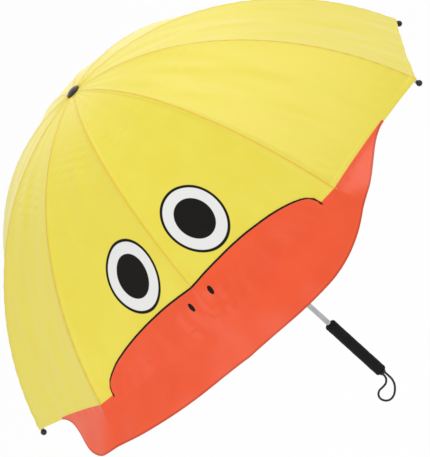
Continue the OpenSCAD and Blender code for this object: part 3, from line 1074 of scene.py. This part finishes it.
@dataclass
class Bill:
    """Doubled red cloth on the front panels, standing past the rim as a visor.

    Attributes:
        dome: the surface that it is sewn on.
        slope_deg: slope of the visor where it leaves the rim.
        half_deg: angle from the front to each end, and full_deg to where the ends begin to draw in.
        arch_deg: angle from the front to each foot of the arch.
        arch_rise: height of the arch over the rim, and arch_foot of its feet.
        sewn_lift: distance of the sewn cloth off the panels, and tip_clear over the rib tips.
        thickness: thickness of the doubled cloth.
        bridge: angle over which it rounds the front rib.
        pucker: height of the puckers below its top.
        hem: overlap with the panels beside the arch.
        free_after: distance past the rim at which it hangs free of the panels' shape.
        knots: angles from the front in degrees at which the visor's drape is given.
        reach: how far the visor stands past the front panels at each of them.
        hang: slope of its free edge below the horizon at each of them.
        waves: height, turns and phase of each wave along the free edge.
        rows: rows down each sector.
    """

    dome: Dome
    slope_deg: float = 62.0
    half_deg: float = 58.0
    full_deg: float = 40.0
    arch_deg: float = 32.0
    arch_rise: float = 0.056
    arch_foot: float = 0.010
    sewn_lift: float = 0.0007
    tip_clear: float = 0.0013
    thickness: float = 0.0006
    bridge: float = 0.03
    pucker: float = 0.0011
    hem: float = 0.003
    free_after: float = 0.045
    knots: tuple[float, ...] = (-58, -45, -30, -15, 0, 15, 27, 36, 45, 58)
    reach: tuple[float, ...] = (0.042, 0.055, 0.0525, 0.0525, 0.0545, 0.061, 0.065, 0.0375, 0.017, 0.030)
    hang: tuple[float, ...] = (36, 32, 51, 54, 58, 64, 66, 68, 70, 70)
    waves: tuple[Triple, ...] = ((0.0014, 9.1, 0.6), (0.0010, 17.7, 2.1), (0.0009, 37.0, 1.2))
    rows: int = 52

    def degrees(self, turn: Array) -> Array:
        """Angle from the front in degrees."""
        return np.degrees(turn * self.dome.step)

    def drape(self, turn: Array, values: tuple[float, ...]) -> Array:
        """Smooth run of a value given at the knots."""
        deg = self.degrees(turn)
        return sum(np.interp(deg + off, self.knots, values) for off in np.linspace(-7, 7, 9)) / 9

    def top(self, turn: Array) -> Array:
        """Follows the upper border: an arch at the front, and the rim's line beside it.

        Args:
            turn: place round the canopy in panels from the front rib.

        Returns:
            Its arc length from the apex.
        """
        deg = np.abs(self.degrees(turn))
        round_part = np.sqrt(np.clip(1 - (deg / self.arch_deg) ** 2, 0, 1))
        arch = np.where(deg < self.arch_deg, self.arch_foot + (self.arch_rise - self.arch_foot) * round_part, 0.0)
        return np.minimum(self.dome.rim_at(turn) - self.hem, self.dome.rim_line(turn) - arch)

    def end(self, turn: Array) -> Array:
        """Follows the free edge, which draws in to the rim at both ends.

        Args:
            turn: place round the canopy in panels from the front rib.

        Returns:
            Its arc length from the apex.
        """
        deg = np.abs(self.degrees(turn))
        drawn = ease((deg - self.full_deg) / (self.half_deg - self.full_deg))
        full = self.dome.rim_line(turn) + self.drape(turn, self.reach)
        return full + (self.dome.rim_at(turn) - full) * drawn

    def arc(self, turn: Array, share: Array) -> Array:
        """Arc length at a share of the way from the border to the free edge."""
        return self.top(turn) + share * (self.end(turn) - self.top(turn))

    def border_away(self, turn: Array, s: Array) -> Array:
        """Measures from the printed border.

        Args:
            turn: place round the canopy in panels from the front rib.
            s: arc length from the apex.

        Returns:
            The distance, or NO_EDGE where there is no border.
        """
        deg, line, away = np.abs(self.degrees(turn)), self.dome.rim_line(turn), s - self.top(turn)
        side = np.radians(self.arch_deg - deg) * self.dome.meridian(s)[0]
        foot = (s > line - self.arch_foot - 0.001) & (s < line)
        return np.where(deg < self.arch_deg, np.where(foot, np.minimum(side, away), away), NO_EDGE)

    def surface(self, turn: Array, share: Array) -> Array:
        """Points of the bill, sewn on the panels and hanging free past the rim.

        Args:
            turn: place round the canopy in panels from the front rib.
            share: share of the way from the border to the free edge.

        Returns:
            Points, one row of three for each place.
        """
        dome = self.dome
        s, phi = self.arc(turn, share), turn * dome.step
        past = np.maximum(s - dome.rim_line(turn), 0.0)
        free = ease(past / self.free_after)
        lift = self.sewn_lift + (self.tip_clear - self.sewn_lift) * ease(past / dome.front_cut)
        lift = lift + self.slack(turn, s) - ease(past / 0.008) * dome.folds(turn, s - past)
        base = dome.cloth(turn, s - past, lift)
        out, down = self.hang_down(turn, past)
        r = np.linalg.norm(base[..., :2], axis=-1)
        r = r + (dome.meridian(s - past)[0] - r) * free
        wave = free * sum(height * np.sin(turns * phi + phase) for height, turns, phase in self.waves)
        points = dome.radial(np.arctan2(base[..., 0], -base[..., 1])) * (r + out + wave)[..., None]
        points[..., 2] = base[..., 2] - down + 0.4 * wave
        return points

    def slack(self, turn: Array, s: Array) -> Array:
        """How far the bill stands off the panels: it rounds the front rib and puckers below its top.

        Args:
            turn: place round the canopy in panels from the front rib.
            s: arc length from the apex.

        Returns:
            Distances in metres.
        """
        dome = self.dome
        phi, inside = turn * dome.step, ease((s - self.top(turn)) / 0.02)
        r = dome.meridian(np.minimum(s, dome.rim_s))[0]
        bridge = r * math.tan(dome.step / 2) * (np.abs(phi) + self.bridge - np.hypot(phi, self.bridge))
        bridge = bridge * (1 - ease((np.abs(phi) - 0.10) / 0.18))
        down = s - (dome.rim_s - dome.front_cut - self.arch_rise)
        fan, far = np.arctan2(phi * r, down + 0.012), np.hypot(phi * r, down)
        pucker = np.sin(11 * fan + 3 * np.sin(far * 70)) * np.exp(-(((far - 0.045) / 0.030) ** 2) - (fan / 0.9) ** 2)
        return inside * (bridge + self.pucker * (1 + pucker))

    def hang_down(self, turn: Array, past: Array) -> tuple[Array, Array]:
        """How far out and down the visor has come at a distance past the rim.

        Args:
            turn: place round the canopy in panels from the front rib.
            past: distance along the cloth past the rim.

        Returns:
            The way out and the way down in metres.
        """
        along = np.linspace(0, 1, 17).reshape(-1, *[1] * np.ndim(past)) * past
        bend = self.drape(turn, self.hang) - self.slope_deg
        slope = np.radians(self.slope_deg + bend * ease((along - 0.018) / 0.030))
        mid = (slope[1:] + slope[:-1]) / 2
        stretch = np.diff(along, axis=0)
        return (stretch * np.cos(mid)).sum(0), (stretch * np.sin(mid)).sum(0)

    def sector(self, name: str, rib: int, low: float, high: float) -> None:
        """Makes one sector of the bill.

        Args:
            name: name of the piece.
            rib: number of the rib that carries it, from 0.
            low: lower border in degrees from the front.
            high: upper border in degrees.
        """
        dome = self.dome
        feet = [f + d for f in (-self.arch_deg, self.arch_deg) for d in (-0.1, 0.1) if low < f < high]
        deg = np.unique([*np.linspace(low, high, max(int((high - low) / 0.9), 8)), *feet])
        share, turn = np.meshgrid(np.linspace(0, 1, self.rows), np.radians(deg) / dome.step, indexing="ij")
        s = self.arc(turn, share)
        r = dome.meridian(np.minimum(s, dome.rim_s))[0]
        maps = cloth_maps(turn * dome.step * r, s, self.border_away(turn, s), self.end(turn) - s)
        maker = SheetMaker(self.surface, self.thickness)
        made = maker.build(name, turn, share, maps, ("cloth_bill", "cloth_bill"))
        area, edge = maker.area(turn, share), self.surface(turn, share)[-1]
        span = float(np.linalg.norm(edge[0] - edge[-1]))
        deep = max(float((self.end(turn) - self.top(turn)).max()), area / span)
        carrier = f"rib_{rib % dome.ribs + 1}"
        dress(made, carrier, "bill")
        dome.gather(made, rib, GATHERED)

    def build(self) -> None:
        """Makes the three sectors."""
        mid, last = math.degrees(self.dome.step) / 2, self.half_deg - 0.05
        self.sector("bill_front", 0, -mid, mid)
        self.sector("bill_right", 1, mid, last)
        self.sector("bill_left", -1, -last, -mid)


@dataclass
class ClosingBand:
    """Sewn band with a press stud, on the outside of a back panel.

    Attributes:
        dome: the surface that it lies on.
        panel: panel number from 0.
        place: share of the way across the panel.
        stud_d: diameter of the stud.
        up: distance of its lower end from the rim.
        lift: distance of its outer face off the panel.
        puff: height of its waves, and puff_long their length.
    """

    dome: Dome
    panel: int = 5
    place: float = 0.3
    length: float = 0.130
    width: float = 0.016
    thickness: float = 0.0010
    stud_d: float = 0.009
    up: float = 0.048
    lift: float = 0.0014
    puff: float = 0.0004
    puff_long: float = 0.021

    @property
    def start(self) -> float:
        """Arc length of its upper end."""
        return self.dome.rim_s - self.length - self.up

    def ends(self, s: Array) -> Array:
        """Distance from the nearer end."""
        return np.minimum(s - self.start, self.start + self.length - s)

    def surface(self, side: Array, s: Array) -> Array:
        """Points of the outer face, slightly waved and lower at its sides.

        Args:
            side: place across the band, from -1 to 1.
            s: arc length from the apex.

        Returns:
            Points, one row of three for each place.
        """
        turn = self.panel + self.place + side * self.width / 2 / (2 * self.dome.half(s))
        puff = self.puff * np.sin(s * TURN / self.puff_long) * ease(self.ends(s) / 0.02)
        return self.dome.cloth(turn, s, self.lift + puff - 0.0003 * ease((np.abs(side) - 0.8) / 0.2))

    def build(self) -> None:
        """Makes the band and its stud."""
        columns = np.array([-1.0, -0.86, -0.5, 0.0, 0.5, 0.86, 1.0])
        v, u = np.meshgrid(self.start + np.linspace(0, 1, 40) * self.length, columns, indexing="ij")
        maker, half = SheetMaker(self.surface, self.thickness), self.width / 2
        maps = cloth_maps(u * half, v, (1 - np.abs(u)) * half, self.ends(v))
        band = maker.build("closing_band", u, v, maps, ("cloth_band", "cloth_band"))
        rib, flat = f"rib_{self.panel + 1}", (self.width, self.length)
        dress(band, rib, "tie_band")
        self.dome.gather(band, self.panel, GATHERED)
        spot = np.zeros((1, 1)), np.full((1, 1), self.start + self.length - self.stud_d)
        r = self.stud_d / 2
        profile = ((0.0, 0.0011), (0.30 * r, 0.0011), (0.42 * r, 0.0007), (0.62 * r, 0.0007), (0.78 * r, 0.0010),
                   (0.93 * r, 0.0008), (r, 0.0002), (r, -0.0009), (0.0, -0.0009))
        stud = lathe("press_stud", profile, "plated_tube", 36)
        turned = Vector(maker.normals(*spot)[0, 0]).to_track_quat("Z", "Y").to_matrix().to_4x4()
        stud.data.transform(Matrix.Translation(Vector(self.surface(*spot)[0, 0])) @ turned)
        dress(stud, rib, "press_studs")
        self.dome.gather(stud, self.panel, GATHERED)


@dataclass
class Handle:
    """Foam grip and wrist cord at the lower end of the tube.

    Attributes:
        rounding: radius of the sleeve's edges.
        bore: diameter of the sleeve's bore.
        uneven: mean depth of the unevenness of the sleeve's side.
        fill: how tight the foam is, from 0 for slack to 1 for tight.
        plug_low: height of the plug's lower face, where the cord leaves it.
        plait: length of one turn of the cord's plait.
        sides: faces round the cord.
        route: points of the cord in millimetres below the plug.
    """

    length: float = 0.100
    diameter: float = 0.016
    rounding: float = 0.003
    bore: float = 0.0071
    uneven: float = 0.00012
    fill: float = 0.95
    plug_low: float = -0.053
    cord_d: float = 0.003
    plait: float = 0.006
    sides: int = 20
    route: tuple[Triple, ...] = (
        (1.9, 0, 0), (2, 0, -7), (2, -1.5, -14), (0, -4, -20.5), (-4.5, -6.5, -26), (-10.5, -8.5, -30),
        (-17.5, -9.5, -31), (-23.5, -9, -28), (-26.5, -8, -22), (-25, -7, -16), (-20, -6, -12.5), (-13.5, -5, -12.5),
        (-7.5, -3.5, -12), (-3.5, -1.5, -9), (-1.9, -0.5, -5), (-1.9, 0, 0))

    def build(self) -> None:
        """Makes the grip and the cord."""
        self.foam()
        self.cord()

    def foam(self) -> None:
        """Makes the foam sleeve, slightly uneven along its length."""
        half, e, bore = self.length / 2, self.rounding, self.bore / 2
        r, flat = self.diameter / 2, half - e
        corner = [(r - e + e * math.sin(a), flat + e * math.cos(a)) for a in np.linspace(0, math.pi / 2, 9)]
        side = [(r - self.uneven * (1 + math.sin(z * 410.0) * math.cos(z * 167.0)), z)
                for z in (flat - 2 * flat * i / 40 for i in range(1, 40))]
        lower = [(x, -z) for x, z in reversed(corner)]
        made = lathe("grip_foam", [(bore, half), *corner, *side, *lower, (bore, -half), (bore, half)], "foam_skin", 72)
        dress(made, "root", "foam_grip")

    def line(self, per: int = 9) -> Array:
        """Draws the cord's smooth centre line through the route's points.

        Args:
            per: steps between two points.

        Returns:
            Points along the line.
        """
        p = np.array(self.route, float) / 1000 + np.array([0, 0, self.plug_low])
        ends = np.concatenate([[2 * p[0] - p[1]], p, [2 * p[-1] - p[-2]]])
        out = []
        for a, b, c, d in zip(ends, ends[1:], ends[2:], ends[3:]):
            for t in np.arange(per) / per:
                bend, twist = 2 * a - 5 * b + 4 * c - d, 3 * b - a - 3 * c + d
                out.append(0.5 * (2 * b + (c - a) * t + bend * t**2 + twist * t**3))
        return np.array([*out, p[-1]])

    def cord(self) -> None:
        """Makes the braided cord as a tube with a raised plait."""
        line, sides = self.line(), self.sides
        along = np.concatenate([[0], np.cumsum(np.linalg.norm(np.diff(line, axis=0), axis=1))])
        tangent = np.gradient(line, axis=0)
        tangent /= np.linalg.norm(tangent, axis=1, keepdims=True)
        side = np.cross(tangent, (0.0, 1.0, 0.0))
        side /= np.linalg.norm(side, axis=1, keepdims=True)
        up = np.cross(side, tangent)
        angle = np.linspace(0, TURN, sides, endpoint=False)[None, :]
        twist = TURN * along[:, None] / self.plait
        r = self.cord_d / 2 * (0.97 + 0.03 * np.cos(3 * angle + twist) * np.cos(3 * angle - twist))
        ring = side[:, None] * np.cos(angle)[..., None] + up[:, None] * np.sin(angle)[..., None]
        points = (line[:, None] + ring * r[..., None]).reshape(-1, 3)
        place = np.arange(len(points)).reshape(-1, sides)
        after = np.roll(place, -1, 1)
        faces = np.stack([place[:-1], after[:-1], after[1:], place[1:]], -1).reshape(-1, 4).tolist()
        faces += [place[0, ::-1].tolist(), place[-1].tolist()]
        mesh = bpy.data.meshes.new("wrist_cord")
        mesh.from_pydata(points.tolist(), [], faces)
        v, u = np.meshgrid(along, np.arange(sides) * math.pi * self.cord_d / sides, indexing="ij")
        corners = np.concatenate([np.array(face) for face in faces])
        flat = np.stack([u.ravel(), v.ravel()], -1)[corners]
        mesh.uv_layers.new(name="cloth").data.foreach_set("uv", flat.astype(np.float32).ravel())
        mesh.polygons.foreach_set("use_smooth", [True] * len(faces))
        mesh.materials.append(bpy.data.materials["cord_braid"])
        mesh.update()
        made = place_object("wrist_cord", mesh)
        dress(made, "root", "wrist_strap")


@dataclass
class Ironwork:
    """The hard pieces, which keep the part's own solids and get finishes."""

    finishes: tuple[tuple[str, tuple[str, ...]], ...] = (
        ("plated_tube", ("shaft",)),
        ("moulded_black", ("top_cap", "crown", "runner", "grip_plug", "rib_tip")),
        ("plated_spring", ("crown_wire", "runner_stop", "top_catch", "bottom_catch")),
        ("plated_rib", ("stretcher", "rib")))

    def build(self) -> None:
        """Gives each carried-over solid its finish."""
        chosen = {stem: finish for finish, stems in self.finishes for stem in stems}
        for name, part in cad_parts.items():
            stem = name.rstrip("0123456789").rstrip("_")
            if stem in chosen:
                part.data.materials.clear()
                part.data.materials.append(bpy.data.materials[chosen[stem]])
                LOG.info("%s is dressed in %s", name, chosen[stem])


@dataclass
class Rosette:
    """Round cloth washer between the crown and the canopy.

    Attributes:
        top: height of its upper face.
        hole: radius of its hole.
        wave: height of the waves at its edge.
    """

    top: float = 0.5143
    radius: float = 0.0135
    hole: float = 0.0036
    thickness: float = 0.0003
    wave: float = 0.00012

    def surface(self, angle: Array, share: Array) -> Array:
        """Points of the upper face, with share from the hole to the edge."""
        r = self.hole + share * (self.radius - self.hole)
        return np.stack([r * np.cos(angle), r * np.sin(angle), self.top + self.wave * share * np.sin(9 * angle)], -1)

    def build(self) -> None:
        """Makes the washer with a slightly waved edge."""
        share, angle = np.meshgrid(np.linspace(0, 1, 9), np.linspace(0, TURN, 73), indexing="ij")
        maker, r = SheetMaker(self.surface, self.thickness), share * self.radius
        no_seam = np.full_like(share, NO_EDGE)
        maps = cloth_maps(r * np.cos(angle), r * np.sin(angle), no_seam, (1 - share) * self.radius)
        made = maker.build("rosette_cloth", angle, share, maps, ("cloth_band", "cloth_band"))
        dress(made, "root", "rosette")
        maker.area(angle, share)


@dataclass
class Studio:
    """Camera at the photograph's angle, soft lamps, pale floor and white surround.

    Attributes:
        azimuth: the camera's angle round the shaft from the front, in degrees like elevation and roll.
        distance: its distance from the point it looks at.
        lens: its focal length, and sensor its width, in millimetres.
        aim: point on the shaft near the middle of the picture.
        right_of_aim: how far right of it the camera looks, and below_aim how far below it.
        floor_z: height of the floor, and floor_half half its width.
        shown_white: how white the floor looks, against its shaded look.
    """

    azimuth: float = 14.6
    elevation: float = 18.9
    roll: float = 47.87
    distance: float = 4.2
    lens: float = 258.0
    sensor: float = 36.0
    aim: Triple = (0.0, 0.0, 0.271)
    right_of_aim: float = 0.0061
    below_aim: float = 0.0160
    floor_z: float = -0.60
    floor_half: float = 40.0
    shown_white: float = 0.96

    def axes(self) -> tuple[Vector, Vector, Vector]:
        """Turns the camera's angles into directions.

        Returns:
            Its right, up and back directions.
        """
        a, e, c = (math.radians(x) for x in (self.azimuth, self.elevation, self.roll))
        back = Vector((math.sin(a) * math.cos(e), -math.cos(a) * math.cos(e), math.sin(e)))
        level = Vector((math.cos(a), math.sin(a), 0.0))
        above = back.cross(level)
        return level * math.cos(c) - above * math.sin(c), above * math.cos(c) + level * math.sin(c), back

    def build(self) -> None:
        """Places the camera, the lamps, the floor and the world."""
        right, up, back = self.axes()
        data = bpy.data.cameras.new("camera")
        data.lens, data.sensor_width = self.lens, self.sensor
        camera = place_object("camera", data)
        centre = Vector(self.aim) + right * self.right_of_aim - up * self.below_aim
        camera.matrix_world = self.turned(centre + back * self.distance, right, up, back)
        bpy.context.scene.camera = camera
        bpy.context.scene.view_settings.view_transform = "Standard"
        self.lamp("key", up * 2.15 + back * 0.25, centre, (2.6, 0.7), 16.5, right * 0.74 + back * 0.65)
        self.lamp("fill", back * 2.4 - up * 0.6 - right * 1.2, centre, (2.2, 2.2), 23.0, right)
        self.lamp("rear", Vector((0.3, 0.0, 1.4)) - back * 1.8, centre, (1.8, 1.8), 5.0, right)
        self.floor()
        self.world()

    def turned(self, place: Vector, *axes: Vector) -> Matrix:
        """Places and turns a camera or a lamp.

        Args:
            place: where it stands.
            axes: its right, up and back directions.

        Returns:
            Its matrix.
        """
        made = Matrix(axes).transposed().to_4x4()
        made.translation = place
        return made

    def lamp(self, name: str, off: Vector, aim: Vector, size: Pair, power: float, along: Vector) -> None:
        """Places one area lamp.

        Args:
            name: name of the lamp.
            off: where it stands, from the point it faces.
            aim: point it faces.
            size: its two sides in metres.
            power: watts.
            along: direction of its first side.
        """
        data = bpy.data.lights.new(name, "AREA")
        data.shape, data.size, data.size_y, data.energy = "RECTANGLE", *size, power
        behind = off.normalized()
        side = (along - behind * along.dot(behind)).normalized()
        place_object(name, data).matrix_world = self.turned(aim + off, side, behind.cross(side), behind)

    def floor(self) -> None:
        """Makes the pale floor: white to the camera, with the object's shadow, and clear from below."""
        mesh, wide = bpy.data.meshes.new("floor"), self.floor_half
        corners = ((-wide, -wide), (wide, -wide), (wide, wide), (-wide, wide))
        mesh.from_pydata([(x, y, self.floor_z) for x, y in corners], [], [(0, 1, 2, 3)])
        material = bpy.data.materials.new("pale_floor")
        material.use_nodes = True
        material.node_tree.nodes.clear()
        graph = Graph(material.node_tree)
        matt = graph.node("BsdfDiffuse", Color=(0.86, 0.86, 0.86, 1.0)).outputs[0]
        glow = graph.node("Emission", Color=(1.0, 1.0, 1.0, 1.0), Strength=1.0).outputs[0]
        white = graph.math("MULTIPLY", graph.seen_plainly(), self.shown_white)
        above = graph.node("MixShader", white, matt, glow).outputs[0]
        below = graph.node("NewGeometry").outputs["Backfacing"]
        both = graph.node("MixShader", below, above, graph.node("BsdfTransparent").outputs[0])
        graph.node("OutputMaterial", both.outputs[0]).is_active_output = True
        mesh.materials.append(material)
        place_object("floor", mesh)

    def world(self) -> None:
        """Lights the surround softly, and shows it white."""
        world = bpy.data.worlds.new("studio")
        bpy.context.scene.world = world
        world.use_nodes = True
        world.node_tree.nodes.clear()
        graph = Graph(world.node_tree)
        soft = graph.node("Background", Color=(0.98, 0.99, 1.0, 1.0), Strength=0.71).outputs[0]
        white = graph.node("Background", Color=(1.0, 1.0, 1.0, 1.0), Strength=1.0).outputs[0]
        graph.node("OutputWorld", graph.node("MixShader", graph.seen_plainly(), soft, white).outputs[0])


def main() -> None:
    """Builds the umbrella's looks in order."""
    logging.basicConfig(level=logging.INFO, format="%(message)s")
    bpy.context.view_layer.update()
    Studio().build()
    for effect in EFFECTS:
        effect.build()
    for finish in FINISHES:
        finish.build()
    dome = Dome()
    for part in (Handle(), Canopy(dome), Bill(dome), ClosingBand(dome), Rosette(), Ironwork()):
        part.build()


if __name__ == "__main__":
    main()
